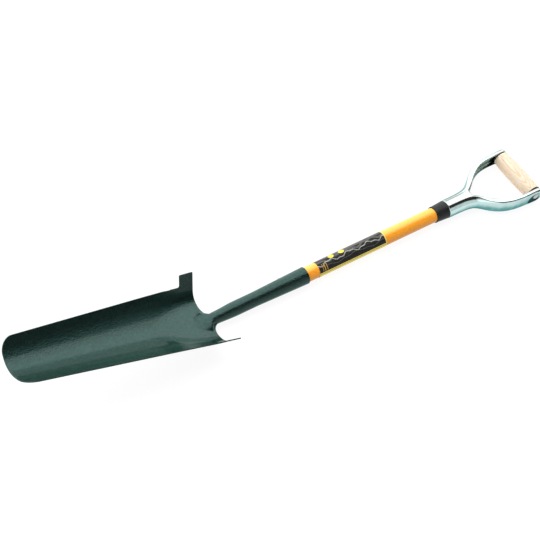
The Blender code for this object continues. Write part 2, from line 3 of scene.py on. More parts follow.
import bmesh
import bpy
import numpy as np
from mathutils import Matrix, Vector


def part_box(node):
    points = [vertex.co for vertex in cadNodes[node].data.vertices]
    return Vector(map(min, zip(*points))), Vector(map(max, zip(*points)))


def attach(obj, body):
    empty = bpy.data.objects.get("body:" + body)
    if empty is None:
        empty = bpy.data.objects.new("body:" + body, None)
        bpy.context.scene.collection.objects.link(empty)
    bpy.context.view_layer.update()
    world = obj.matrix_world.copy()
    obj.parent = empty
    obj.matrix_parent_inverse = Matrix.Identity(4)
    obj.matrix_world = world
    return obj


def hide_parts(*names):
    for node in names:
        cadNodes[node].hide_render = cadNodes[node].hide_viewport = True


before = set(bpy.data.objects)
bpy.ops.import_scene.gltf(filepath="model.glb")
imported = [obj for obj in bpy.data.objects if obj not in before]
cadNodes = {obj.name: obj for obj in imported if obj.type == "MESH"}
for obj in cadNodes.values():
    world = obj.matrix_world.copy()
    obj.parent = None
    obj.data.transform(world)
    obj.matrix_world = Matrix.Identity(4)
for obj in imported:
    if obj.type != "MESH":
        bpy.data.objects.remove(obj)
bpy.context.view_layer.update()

tubeLow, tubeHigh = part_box("shaft_tube")
axisHeight = (tubeLow[2] + tubeHigh[2]) / 2  # of the shaft over the floor
shoulderPlace = tubeHigh[0] - 0.581  # places along the shaft are measured from the blade's shoulder
print("frame loaded:", len(cadNodes), "nodes, shaft axis at height", round(axisHeight, 4))


# 3x^2 - 2x^3 between 0 and 1, and held outside them
def ease(x):
    x = np.clip(x, 0.0, 1.0)
    return x * x * (3.0 - 2.0 * x)


def mix(a, b, share):
    return a + (b - a) * share


def joined(*parts):
    return np.concatenate(parts)


# The larger of two heights, with a round hollow of a size where they cross
def smoothMax(a, b, size):
    size = np.maximum(size, 1e-9)
    share = np.clip(0.5 + (b - a) / (2 * size), 0.0, 1.0)
    return mix(a, b, share) + size * share * (1.0 - share)


# Quads of a grid of vertex numbers: each joins (i, j), (i, j+1), (i+1, j+1) and (i+1, j)
def gridQuads(numbers):
    corners = [numbers[:-1, :-1], numbers[:-1, 1:], numbers[1:, 1:], numbers[1:, :-1]]
    return np.stack(corners, axis=-1).reshape(-1, 4)


# An object from grids of points (rows, columns, 3), which are laid end to end and moved
def gridObject(name, grids, look, move=(0.0, 0.0, 0.0)):
    points, quads, first = [], [], 0
    for grid in grids:
        rows, columns = grid.shape[:2]
        quads.append(gridQuads(first + np.arange(rows * columns).reshape(rows, columns)))
        points.append(grid.reshape(-1, 3))
        first += rows * columns
    mesh = bpy.data.meshes.new(name)
    mesh.from_pydata((np.concatenate(points) + move).tolist(), [], np.concatenate(quads).tolist())
    mesh.materials.append(look)
    made = bpy.data.objects.new(name, mesh)
    bpy.context.scene.collection.objects.link(made)
    return made


# A finished piece: grids in the shaft's frame, merged at their seams, faces out, smooth up to a crease angle
def makePiece(name, grids, look, node, crease=38.0, uvGrids=None):
    piece = gridObject(name, grids, look, (shoulderPlace, 0.0, axisHeight))
    mesh = piece.data
    if uvGrids is not None:
        flat = np.concatenate([grid.reshape(-1, 2) for grid in uvGrids])
        corner = np.empty(len(mesh.loops), dtype=np.int32)
        mesh.loops.foreach_get("vertex_index", corner)
        layer = mesh.uv_layers.new(name="lay")
        layer.data.foreach_set("uv", flat[corner].astype(np.float32).ravel())
    work = bmesh.new()
    work.from_mesh(mesh)
    bmesh.ops.remove_doubles(work, verts=work.verts, dist=3e-6)
    bmesh.ops.dissolve_degenerate(work, edges=work.edges, dist=1e-7)
    bmesh.ops.recalc_face_normals(work, faces=work.faces)
    openEdges = sum(1 for edge in work.edges if len(edge.link_faces) != 2)
    work.to_mesh(mesh)
    work.free()
    mesh.shade_smooth()
    mesh.set_sharp_from_angle(angle=math.radians(crease))
    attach(piece, "root")
    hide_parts(node)
    print("made", name, len(mesh.polygons), "faces, open edges", openEdges)


# A closed outline of (place, radius) points turned about X or Y: (place, r sin a, r cos a)
def turnedGrid(outline, axis="X", at=0.0, segments=96):
    place, radius = np.array(outline, dtype=float).T
    angle = np.linspace(0.0, math.tau, segments + 1)[:, None]
    along = np.broadcast_to(place, (segments + 1, len(place)))
    side, up = radius * np.sin(angle), radius * np.cos(angle)
    return np.stack([along, side, up] if axis == "X" else [at + side, along, up], axis=-1)


def shaderTree(name):
    look = bpy.data.materials.new(name)
    look.use_nodes = True
    return look, look.node_tree, look.node_tree.nodes["Principled BSDF"]


# A socket is linked to an input, and a plain value is set on it
def give(tree, target, value):
    if isinstance(value, bpy.types.NodeSocket):
        tree.links.new(value, target)
    else:
        target.default_value = value


# Inputs are named with _ for a space, or i0, i1 and so on by number
def addNode(tree, kind, settings=None, **inputs):
    node = tree.nodes.new(kind)
    for key, value in (settings or {}).items():
        setattr(node, key, value)
    for key, value in inputs.items():
        numbered = key[0] == "i" and key[1:].isdigit()
        give(tree, node.inputs[int(key[1:]) if numbered else key.replace("_", " ")], value)
    return node


def feed(tree, shader, **values):
    for key, value in values.items():
        give(tree, shader.inputs[key.replace("_", " ")], value)


def maths(tree, operation, a, b=0.0, c=0.0, clamp=False):
    node = addNode(tree, "ShaderNodeMath", {"operation": operation, "use_clamp": clamp}, i0=a, i1=b, i2=c)
    return node.outputs[0]


def times(tree, a, b):
    return maths(tree, "MULTIPLY", a, b)


def minus(tree, a, b):
    return maths(tree, "SUBTRACT", a, b)


def blend(tree, share, a, b):
    node = addNode(tree, "ShaderNodeMix", {"data_type": "RGBA"}, i0=share, i6=a, i7=b)
    return node.outputs[2]


# Low up to the start, high from the end on, and a smooth step between them
def smooth(tree, value, start, end, low=0.0, high=1.0):
    node = addNode(tree, "ShaderNodeMapRange", {"interpolation_type": "SMOOTHSTEP"}, Value=value,
                   From_Min=start, From_Max=end, To_Min=low, To_Max=high)
    return node.outputs[0]


# X, Y and Z of a place, by default the place on the object
def splitPlace(tree, where=None):
    where = addNode(tree, "ShaderNodeTexCoord").outputs["Object"] if where is None else where
    return addNode(tree, "ShaderNodeSeparateXYZ", i0=where).outputs


# A piece's own flat map, from makePiece
def flatMap(tree):
    return splitPlace(tree, addNode(tree, "ShaderNodeUVMap", {"uv_map": "lay"}).outputs[0])


# Distance from a line along Y: sqrt((X - x)^2 + (Z - z)^2)
def fromLine(tree, parts, x, z):
    offX, offZ = minus(tree, parts["X"], x), minus(tree, parts["Z"], z)
    return maths(tree, "SQRT", maths(tree, "MULTIPLY_ADD", offX, offX, times(tree, offZ, offZ)))


def bump(tree, height, strength, distance):
    node = addNode(tree, "ShaderNodeBump", Strength=strength, Distance=distance, Height=height)
    return node.outputs["Normal"]


# A group with number or vector inputs, given with their usual values, and one number as output
def newGroup(name, inputs, output):
    group = bpy.data.node_groups.new(name, "ShaderNodeTree")
    for label, value in inputs.items():
        kind = "NodeSocketVector" if isinstance(value, tuple) else "NodeSocketFloat"
        group.interface.new_socket(label, in_out="INPUT", socket_type=kind).default_value = value
    group.interface.new_socket(output, in_out="OUTPUT", socket_type="NodeSocketFloat")
    given, out = group.nodes.new("NodeGroupInput"), group.nodes.new("NodeGroupOutput")
    return group, given.outputs, out.inputs[output]


# Cloudy change from place to place: noise of a size in millimetres, stretched along one axis if asked
def makeCloudGroup():
    usual = {"Size mm": 4.0, "Stretch": (1.0, 1.0, 1.0), "Low": 0.0, "High": 1.0, "Detail": 2.0}
    group, given, out = newGroup("cloud", usual, "Value")
    where = addNode(group, "ShaderNodeTexCoord").outputs["Object"]
    place = addNode(group, "ShaderNodeVectorMath", {"operation": "MULTIPLY"}, i0=where, i1=given["Stretch"])
    noise = addNode(group, "ShaderNodeTexNoise", Vector=place.outputs[0], Detail=given["Detail"],
                    Scale=maths(group, "DIVIDE", 1000.0, given["Size mm"]))
    # Most of the noise lies between 0.3 and 0.7
    spread = addNode(group, "ShaderNodeMapRange", Value=noise.outputs["Fac"], From_Min=0.3, From_Max=0.7,
                     To_Min=given["Low"], To_Max=given["High"])
    group.links.new(spread.outputs[0], out)
    return group


# Small raised dimples as on hammered paint or moulded plastic: smooth cells of a size in millimetres
def makeDimpleGroup():
    group, given, out = newGroup("dimples", {"Size mm": 3.0, "Grain mm": 0.6, "Grain share": 0.3}, "Height")
    where = addNode(group, "ShaderNodeTexCoord").outputs["Object"]
    cells = addNode(group, "ShaderNodeTexVoronoi", {"feature": "SMOOTH_F1"}, Vector=where, Smoothness=0.6,
                    Scale=maths(group, "DIVIDE", 1000.0, given["Size mm"]))
    grain = addNode(group, "ShaderNodeTexNoise", Vector=where,
                    Scale=maths(group, "DIVIDE", 1000.0, given["Grain mm"]))
    fine = maths(group, "MULTIPLY", grain.outputs["Fac"], given["Grain share"])
    group.links.new(maths(group, "ADD", cells.outputs["Distance"], fine), out)
    return group


cloud = makeCloudGroup()
dimples = makeDimpleGroup()


def cloudy(tree, sizeMm, low=0.0, high=1.0, **more):
    node = addNode(tree, "ShaderNodeGroup", {"node_tree": cloud}, Size_mm=sizeMm, Low=low, High=high, **more)
    return node.outputs[0]


def dimpled(tree, form):
    node = addNode(tree, "ShaderNodeGroup", {"node_tree": dimples}, Size_mm=form["dimpleMm"],
                   Grain_mm=form["grainMm"], Grain_share=form["grainShare"])
    return node.outputs[0]


def roughness(tree, form, **more):
    return cloudy(tree, form["roughMm"], *form["rough"], **more)


# In every look, sizes end in Mm, rough is from least to most, and bump is its strength and height in metres

# Hammered paint: metal flake in dark green, which spreads its light widely, under a thin mirroring clear coat
paintLook = {
    "deep": (0.0125, 0.031, 0.027, 1), "light": (0.022, 0.050, 0.044, 1), "lightShare": 0.6, "cloudMm": 6.0,
    "dimpleMm": 2.2, "grainMm": 0.5, "grainShare": 0.2, "bump": (0.8, 0.0007),
    "roughMm": 2.4, "rough": (0.27, 0.36), "metallic": 0.95, "edgeTint": (0.45, 0.72, 0.63, 1),
    "coat": 1.0, "coatIor": 1.22, "coatRough": 0.11,
}


def makePaint():
    look, tree, shader = shaderTree("hammeredGreenPaint")
    form = paintLook
    height = dimpled(tree, form)
    share = maths(tree, "ADD", cloudy(tree, form["cloudMm"], Detail=4.0), height)
    share = maths(tree, "MULTIPLY", share, form["lightShare"], clamp=True)
    feed(tree, shader, Base_Color=blend(tree, share, form["deep"], form["light"]),
         Roughness=roughness(tree, form), Normal=bump(tree, height, *form["bump"]), Metallic=form["metallic"],
         Specular_Tint=form["edgeTint"], Coat_Weight=form["coat"], Coat_IOR=form["coatIor"],
         Coat_Roughness=form["coatRough"])
    return look


# Glass fibre: deep orange yellow, with a painted lemon highlight along the upper side and painted brown shade
# underneath. Places round the shaft are turns from its top, below nought on the camera's side, and edges are
# turns off highlightMiddle
fibreLook = {
    "deep": (0.77, 0.264, 0.016, 1), "light": (0.83, 0.316, 0.024, 1), "paintedHighlight": (0.81, 0.425, 0.078, 1),
    "under": (0.64, 0.235, 0.028, 1), "highlightMiddle": 0.075, "highlightEdge": (0.165, 0.070),
    "underEdge": (0.200, 0.340), "ragged": 0.012, "streakMm": 1.1, "streak": (0.06, 1.0, 1.0),
    "bump": (0.08, 0.0002), "roughMm": 9.0, "rough": (0.16, 0.24), "ior": 1.5, "specular": 0.4,
    "edgeTint": (0.40, 1.0, 0.60, 1.0),
}


def makeFibre():
    look, tree, shader = shaderTree("yellowGlassFibre")
    form = fibreLook
    streaks = cloudy(tree, form["streakMm"], Stretch=form["streak"], Detail=4.0)
    parts = splitPlace(tree)
    up = minus(tree, parts["Z"], axisHeight)
    turn = maths(tree, "DIVIDE", maths(tree, "ARCTAN2", parts["Y"], up), math.tau)
    off = maths(tree, "ABSOLUTE", minus(tree, turn, form["highlightMiddle"]))
    off = maths(tree, "MULTIPLY_ADD", streaks, form["ragged"], off)
    colour = blend(tree, streaks, form["deep"], form["light"])
    # Painted shade: browner on the underside
    colour = blend(tree, smooth(tree, off, *form["underEdge"]), colour, form["under"])
    # Painted highlight: lemon along the upper side
    colour = blend(tree, smooth(tree, off, *form["highlightEdge"]), colour, form["paintedHighlight"])
    feed(tree, shader, Base_Color=colour, Roughness=roughness(tree, form),
         Normal=bump(tree, streaks, *form["bump"]), IOR=form["ior"], Specular_IOR_Level=form["specular"],
         Specular_Tint=form["edgeTint"])
    return look


plasticLook = {
    "deep": (0.006, 0.0075, 0.007, 1), "light": (0.010, 0.0125, 0.012, 1), "cloudMm": 6.0,
    "dimpleMm": 0.9, "grainMm": 0.3, "grainShare": 0.5, "bump": (0.2, 0.0002),
    "roughMm": 1.5, "rough": (0.36, 0.5), "ior": 1.35, "specular": 0.4,
}


def makePlastic():
    look, tree, shader = shaderTree("blackMouldedPlastic")
    form = plasticLook
    colour = blend(tree, cloudy(tree, form["cloudMm"]), form["deep"], form["light"])
    feed(tree, shader, Base_Color=colour, Roughness=roughness(tree, form), IOR=form["ior"],
         Specular_IOR_Level=form["specular"], Normal=bump(tree, dimpled(tree, form), *form["bump"]))
    return look


# Zinc plate: painted reflection, bright above and bluer towards the lower sides, dull inside the arms and
# painted shade in the dishes.
# Each edge holds the heights over the shaft's axis where a tone starts and where it is full
zincLook = {
    "bright": (0.385, 0.40, 0.395, 1), "pale": (0.55, 0.72, 0.705, 1), "coolShade": (0.12, 0.34, 0.34, 1),
    "inside": (0.40, 0.55, 0.53, 1), "dishShade": (0.022, 0.034, 0.035, 1), "edgeTint": (0.38, 0.55, 0.54, 1),
    "paleEdge": (0.0160, 0.0135), "coolShadeEdge": (0.0070, -0.0070), "insideEdge": (0.0115, 0.0095),
    "patchMm": 14.0, "patch": (-0.2, 0.2), "roughMm": 5.0, "rough": (0.09, 0.16), "insideRough": 0.12,
    "waveMm": 7.0, "bump": (0.06, 0.0006),
    # the painted dish shade's middle, its radius from none to full, and the least distance from the shaft's
    # axis
    "dishShadePlace": 0.7310, "dishShadeDown": 0.0045, "dishShadeEdge": (0.0160, 0.0130), "dishShadeSide": 0.0600,
    "dishShadeShare": 0.9,
}


def makeZinc():
    look, tree, shader = shaderTree("brightZincPlate")
    form = zincLook
    parts = splitPlace(tree)

    def below(edge):
        return smooth(tree, parts["Z"], axisHeight + edge[0], axisHeight + edge[1])

    # Painted reflection by height: bright on top, paler below it, and a cool painted shade on the lower sides
    tone = blend(tree, below(form["paleEdge"]), form["bright"], form["pale"])
    patches = cloudy(tree, form["patchMm"], *form["patch"])
    low = maths(tree, "ADD", below(form["coolShadeEdge"]), patches, clamp=True)
    tone = blend(tree, low, tone, form["coolShade"])
    # The plate is thin and dull inside the arms, where the flat map's first number is 1
    hidden = times(tree, flatMap(tree)["X"], below(form["insideEdge"]))
    tone = blend(tree, hidden, tone, form["inside"])
    # Painted shade in the dish round the rod's head
    away = fromLine(tree, parts, shoulderPlace + form["dishShadePlace"], axisHeight - form["dishShadeDown"])
    outside = maths(tree, "GREATER_THAN", maths(tree, "ABSOLUTE", parts["Y"]), form["dishShadeSide"])
    dishShade = times(tree, smooth(tree, away, *form["dishShadeEdge"]), outside)
    dishShade = times(tree, dishShade, form["dishShadeShare"])
    rough = maths(tree, "MULTIPLY_ADD", hidden, form["insideRough"], roughness(tree, form, Detail=4.0))
    feed(tree, shader, Base_Color=blend(tree, dishShade, tone, form["dishShade"]), Roughness=rough,
         Normal=bump(tree, cloudy(tree, form["waveMm"], Detail=1.0), *form["bump"]), Metallic=1.0,
         Specular_Tint=form["edgeTint"])
    return look


steelLook = {
    "bright": (0.60, 0.61, 0.61, 1), "dull": (0.36, 0.37, 0.37, 1), "patchMm": 2.0, "bump": (0.15, 0.0003),
    "roughMm": 0.8, "rough": (0.28, 0.5),
}


def makeRivetSteel():
    look, tree, shader = shaderTree("rivetSteel")
    form = steelLook
    patches = cloudy(tree, form["patchMm"], Detail=3.0)
    feed(tree, shader, Base_Color=blend(tree, patches, form["bright"], form["dull"]),
         Roughness=roughness(tree, form), Normal=bump(tree, patches, *form["bump"]), Metallic=1.0)
    return look


# Wood: rings round a line well off the piece and nearly along it, so that they come out on its side as long
# arches that close where the barrel is thickest
woodLook = {
    "pale": (0.665, 0.59, 0.47, 1), "late": (0.58, 0.40, 0.25, 1), "low": (1.0, 0.71, 0.54, 1),
    "paintedLightEdge": (0.010, -0.012), "ringMm": 1.0, "ringShare": 0.85, "tilt": (0.022, 0.0, 0.004),
    "shift": (-0.024, 0.0, 0.055), "wander": 2.2, "fibreMm": 0.7, "fibre": (-0.25, 0.3),
    "bump": (0.12, 0.0003), "patchMm": 26.0, "patch": (-0.2, 0.5), "patchShare": 0.45, "ringPower": 2.2,
    "roughMm": 3.0, "rough": (0.5, 0.66),
    "endGrainAndShade": (0.07, 0.05, 0.035, 1), "endStart": 0.0522, "endShift": 0.0006, "endRadius": 0.0162,
    "glow": 0.5, "glowDepth": (1.0, 0.6, 0.35), "glowScale": 0.008,
}
dowelLook = {**woodLook, "pale": (0.72, 0.50, 0.28, 1), "late": (0.46, 0.26, 0.11, 1), "ringMm": 2.4}


def makeWood(name, centre, form, along="Y"):
    look, tree, shader = shaderTree(name)
    where = addNode(tree, "ShaderNodeTexCoord").outputs["Object"]
    shift = tuple(-c + s for c, s in zip(centre, form["shift"]))
    place = addNode(tree, "ShaderNodeMapping", Vector=where, Location=shift, Rotation=form["tilt"])
    # The wave's rings are tau / 20 / scale apart
    wave = addNode(tree, "ShaderNodeTexWave", {"wave_type": "RINGS", "rings_direction": along},
                   Vector=place.outputs[0], Scale=math.tau * 1000.0 / form["ringMm"] / 20.0,
                   Distortion=form["wander"], Detail=2.0, Detail_Scale=0.12)
    stretch = (1.0, 0.05, 1.0) if along == "Y" else (0.05, 1.0, 1.0)
    fibres = cloudy(tree, form["fibreMm"], *form["fibre"], Stretch=stretch, Detail=3.0)
    narrow = maths(tree, "POWER", wave.outputs["Fac"], form["ringPower"])
    share = maths(tree, "ADD", maths(tree, "MULTIPLY", narrow, form["ringShare"]), fibres, clamp=True)
    darker = tuple(mix(a, b, form["patchShare"]) for a, b in zip(form["pale"], form["late"]))
    colour = blend(tree, cloudy(tree, form["patchMm"], *form["patch"]), form["pale"], darker)
    if along == "Y":
        # Painted light: paler underneath
        parts = splitPlace(tree, where)
        paintedLight = smooth(tree, minus(tree, parts["Z"], centre[2]), *form["paintedLightEdge"])
        colour = blend(tree, paintedLight, colour, form["low"])
    colour = blend(tree, share, colour, form["late"])
    if along == "Y":
        # End grain, darkened further as painted shade in the gaps at the ears, past the barrel's last
        # millimetres and inside its rim
        away = fromLine(tree, parts, centre[0], centre[2])
        inside = maths(tree, "LESS_THAN", away, form["endRadius"])
        alongGrip = minus(tree, parts["Y"], form["endShift"])
        atEnd = maths(tree, "GREATER_THAN", maths(tree, "ABSOLUTE", alongGrip), form["endStart"])
        colour = blend(tree, times(tree, inside, atEnd), colour, form["endGrainAndShade"])
    feed(tree, shader, Base_Color=colour, Roughness=roughness(tree, form, Stretch=stretch),
         Normal=bump(tree, share, *form["bump"]), Subsurface_Weight=form["glow"],
         Subsurface_Radius=form["glowDepth"], Subsurface_Scale=form["glowScale"])
    return look


# Label: a dark panel on a lemon sheet, with grey ribbons, yellow discs and gold bars, on a flat map of
# (along, around), where around is 0 on the top and -0.5 on the camera's side
labelLook = {
    "sheet": (0.70, 0.56, 0.13, 1), "panel": (0.008, 0.009, 0.008, 1), "grey": (0.110, 0.108, 0.100, 1),
    "pale": (0.42, 0.42, 0.40, 1), "gold": (0.42, 0.24, 0.05, 1), "yellow": (0.80, 0.62, 0.07, 1),
    "rule": (0.16, 0.15, 0.03, 1), "panelLow": -0.390, "panelHigh": 0.42, "panelEnd": 0.494,
    "ruleDown": 0.055, "ruleWidth": 0.012, "worn": (0.6, 0.4),
    # middle, swing, turns, shift, width and tone of each ribbon, and its second sine's turns, shift and
    # height as shares of the first's
    "second": (2.7, 1.9, 0.45),
    "ribbons": (
        (0.21, 0.06, 1.5, 0.4, 0.110, "grey"), (0.06, 0.07, 2.5, 2.0, 0.060, "grey"),
        (-0.06, 0.06, 3.5, 4.0, 0.022, "pale"), (-0.19, 0.04, 2.0, 1.0, 0.014, "grey"),
    ),
    # cells along the whole label, and the places between which they are filled
    "discs": (6.5, 0.154, 0.461), "discAround": 0.14, "discShape": (1.45, 3.4), "discRadius": 0.40,
    "bars": (30.0, 0.05, 0.12), "barAround": -0.20, "barWidth": 0.24, "barReach": 0.17,
    "speckleMm": 1.6, "speckleShare": 0.18, "roughMm": 5.0, "rough": (0.24, 0.34), "specular": 0.08,
}


def makeLabelPrint():
    look, tree, shader = shaderTree("printedLabel")
    form = labelLook
    lay = flatMap(tree)
    along, around = lay[0], lay[1]

    def away(value, middle):
        return maths(tree, "ABSOLUTE", minus(tree, value, middle))

    # 1 where a distance is below the width, falling off over the last part of it
    def line(distance, width, edge=0.35):
        rest = minus(tree, 1.0, maths(tree, "DIVIDE", distance, width))
        return maths(tree, "DIVIDE", rest, edge, clamp=True)

    def both(a, b):
        return times(tree, a, b)

    # A ribbon's middle line swings as two sines of the place along the label
    def ribbon(middle, swing, turns, shift, width):
        more, later, high = form["second"]
        first = maths(tree, "SINE", maths(tree, "MULTIPLY_ADD", along, turns * math.tau, shift))
        second = maths(tree, "MULTIPLY_ADD", along, turns * more * math.tau, shift * later)
        second = maths(tree, "SINE", second)
        height = both(maths(tree, "MULTIPLY_ADD", second, high, first), swing)
        return line(away(around, maths(tree, "ADD", height, middle)), width)

    speckle = cloudy(tree, form["speckleMm"], Detail=3.0)
    ground = blend(tree, both(speckle, form["speckleShare"]), form["panel"], form["grey"])
    worn = maths(tree, "MULTIPLY_ADD", speckle, *form["worn"])
    for *band, tone in form["ribbons"]:
        ground = blend(tree, both(ribbon(*band), worn), ground, form[tone])

    # Distance from a cell's middle in cells, and 1 between the two places
    def cells(count, start, end):
        inside = away(maths(tree, "FRACT", both(along, count)), 0.5)
        return inside, line(away(along, (start + end) / 2), (end - start) / 2, 0.01)

    inside, between = cells(*form["discs"])
    wide, high = form["discShape"]
    disc = addNode(tree, "ShaderNodeCombineXYZ", X=both(inside, wide),
                   Y=both(minus(tree, around, form["discAround"]), high)).outputs[0]
    far = addNode(tree, "ShaderNodeVectorMath", {"operation": "LENGTH"}, i0=disc).outputs["Value"]
    ground = blend(tree, both(line(far, form["discRadius"], 0.2), between), ground, form["yellow"])
    inside, between = cells(*form["bars"])
    bars = both(line(inside, form["barWidth"]), line(away(around, form["barAround"]), form["barReach"], 0.1))
    ground = blend(tree, both(bars, between), ground, form["gold"])

    middle, half = (form["panelLow"] + form["panelHigh"]) / 2, (form["panelHigh"] - form["panelLow"]) / 2
    end = form["panelEnd"]
    panel = both(line(away(around, middle), half, 0.01), line(away(along, end), end, 0.004))
    rule = line(away(around, form["panelLow"] - form["ruleDown"]), form["ruleWidth"])
    colour = blend(tree, rule, blend(tree, panel, form["sheet"], ground), form["rule"])
    feed(tree, shader, Base_Color=colour, Roughness=roughness(tree, form),
         Specular_IOR_Level=form["specular"])
    return look


gripLow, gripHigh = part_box("grip")
gripCentre = [(a + b) / 2 for a, b in zip(gripLow, gripHigh)]
paint = makePaint()
fibre = makeFibre()
plastic = makePlastic()
zinc = makeZinc()
rivetSteel = makeRivetSteel()
ash = makeWood("bareAsh", gripCentre, woodLook)
softwood = makeWood("softwood", (0, 0, axisHeight), dowelLook, along="X")
labelPrint = makeLabelPrint()
print("looks made")

# Blade: one surface from the nose to the socket's mouth, laid out flat as (along, across) and bent. Places
# along it are measured from the shoulder, below nought towards the nose
bladeForm = {
    "length": 0.4225, "noseHalfWidth": 0.0526, "noseDepth": 0.0253, "shoulderHalfWidth": 0.0742,
    "shoulderDepth": 0.0291, "plate": 0.0022, "crownRadius": 0.400, "cornerRadius": 0.026, "nosePower": 2.0,
    "shoulderPower": 5.2, "formLength": 0.120, "wallAngle": 56.7, "treadLength": 0.0316, "treadRise": 0.0217,
    "treadRoot": 0.0035, "treadCorner": 0.0020, "waist": 0.0012, "waistLength": 0.040, "filletAlong": 0.015,
    "filletAcross": 0.026, "edgeRound": 0.0005, "rowsTurn": -0.060, "rowsPower": 1.12,
    "columnsPower": 1.5,
}
neckForm = {
    "lift": 18.9, "axisOverFloor": 0.0027, "frogLength": 0.040, "frogTip": 0.005, "frogBlend": 0.008,
    "frogSpread": 2.3, "frogNarrow": 0.006, "frogNarrowing": 0.014, "frogSink": 0.0005, "thinFrom": 0.005,
    "keelBlend": 0.004, "keelDrop": 0.00613, "keelDip": 0.004, "keelRound": 0.003, "keelEnd": 1.3,
    "root": 0.010, "rootRadius": 0.0121, "end": 0.060, "radius": 0.0142, "coneStart": 0.102, "mouth": 0.216,
    "mouthRadius": 0.01735, "chamfer": 0.0006, "bore": 0.0153, "boreEnd": 0.110, "boreEndRadius": 0.0127,
    "uprightBy": 0.070,
}
lift = math.radians(neckForm["lift"])
wallSlope = math.tan(math.radians(bladeForm["wallAngle"]))
edgeRound = bladeForm["edgeRound"]
rearJoin = bladeForm["filletAlong"] - edgeRound  # where the plate hands over to the neck
mirror = np.array([1.0, -1.0, 1.0])


# Trough at a place u: height = aim (|v| / halfWidth)^power, then a straight wall past the knee, where the
# curve has reached the wall's slope. The aim is set so that the wall's top ends at the blade's depth
def troughShape(u):
    form = bladeForm
    away = -u / form["length"]
    half = mix(form["shoulderHalfWidth"], form["noseHalfWidth"], away)
    deep = mix(form["shoulderDepth"], form["noseDepth"], away)
    power = mix(form["nosePower"], form["shoulderPower"], ease(1.0 + u / form["formLength"]))
    aim = deep
    for _ in range(8):
        knee = np.minimum(1.0, (wallSlope * half / (power * aim)) ** (1.0 / (power - 1.0)))
        aim = aim * deep / (aim * knee**power + (1.0 - knee) * half * wallSlope)
    return half, power, aim, knee * half


# Outer face of the plate at (u, across), with its normal
def trough(u, across):
    half, power, aim, knee = troughShape(u)
    side = np.sign(across)
    inside = np.minimum(np.abs(across), knee)
    past = np.abs(across) - inside
    slope = power * aim / half * (inside / half) ** (power - 1.0)
    run = 1.0 / np.sqrt(1.0 + slope**2)
    v = side * (inside + past * run)
    w = aim * (inside / half) ** power + past * slope * run
    return v, w, -side * slope * run, run


# Distance from the blade's middle to its edge on the flat plate, with the slight waist ahead of the treads
def edgeLine(u):
    form = bladeForm
    half, power, aim, knee = troughShape(u)
    slope = power * aim / half * (knee / half) ** (power - 1.0)
    start = -form["treadLength"] - form["treadRoot"]
    waist = form["waist"] * ease(1.0 + (u - start) / form["waistLength"])
    return knee + (half - knee) * np.sqrt(1.0 + slope**2) - waist - edgeRound


# Radius of the neck at a place on the shaft's axis: eased from tip to root to neck, then a straight cone
def neckRadius(x):
    form = neckForm
    root, frog, cone = form["root"], form["frogLength"], form["coneStart"]
    tip = mix(form["frogTip"], form["rootRadius"], ease((x + frog) / (root + frog)))
    neck = mix(form["rootRadius"], form["radius"], ease((x - root) / (form["end"] - root)))
    straight = mix(form["radius"], form["mouthRadius"], (x - cone) / (form["mouth"] - cone))
    return np.where(x < root, tip, np.where(x < cone, neck, straight))


# From the blade's floor to the shaft's frame: (x, z) turned by the lift
def toShaft(u, v, w):
    cos, sin, height = math.cos(lift), math.sin(lift), w - neckForm["axisOverFloor"]
    return np.stack([u * cos + height * sin, v, height * cos - u * sin], axis=-1)


# Both faces of the plate at (u, across): the trough, with the neck's round crest let into its top and the
# keel into its back, both passing into the bare tube at the rear join
def bladeFaces(u, across):
    form, plate = neckForm, bladeForm["plate"]
    v, w, nv, nw = trough(u, across)
    held = 1.0 - ease((u - form["thinFrom"]) / (rearJoin - form["thinFrom"]))
    topV, topW = v + plate * nv * held, w + plate * nw
    radius = neckRadius(u / math.cos(lift))
    axis = form["axisOverFloor"] + u * math.tan(lift)
    flat = 1.0 / math.cos(lift)

    def arch(side, spread=1.0):
        return flat * np.sqrt(np.maximum(radius**2 - (side / spread) ** 2, 0.0))

    spread = mix(1.0, form["frogSpread"], ease((form["frogNarrow"] - u) / form["frogNarrowing"]))
    crest = axis + arch(topV, spread) - np.maximum(np.abs(topV) - spread * radius, 0.0)
    top = smoothMax(topW, crest - form["frogSink"] * held, form["frogBlend"] * held)
    share = (u * math.cos(lift) + form["frogLength"]) / (form["root"] + form["frogLength"])
    share = np.clip(share, 0.0, form["keelEnd"])
    drop = form["keelDrop"] * share**2 - form["keelDip"] * np.maximum(1.0 - share, 0.0) ** 2
    keel = smoothMax(axis - radius * flat, -drop, form["keelRound"])
    belly = keel + radius * flat - arch(v) + np.maximum(np.abs(v) - radius, 0.0)
    back = -smoothMax(-w, -belly, form["keelBlend"] * held)
    top = mix(axis + arch(topV), top, held)
    back = mix(axis - arch(v), back, held)
    return toShaft(u, topV, top), toShaft(u, v, back)


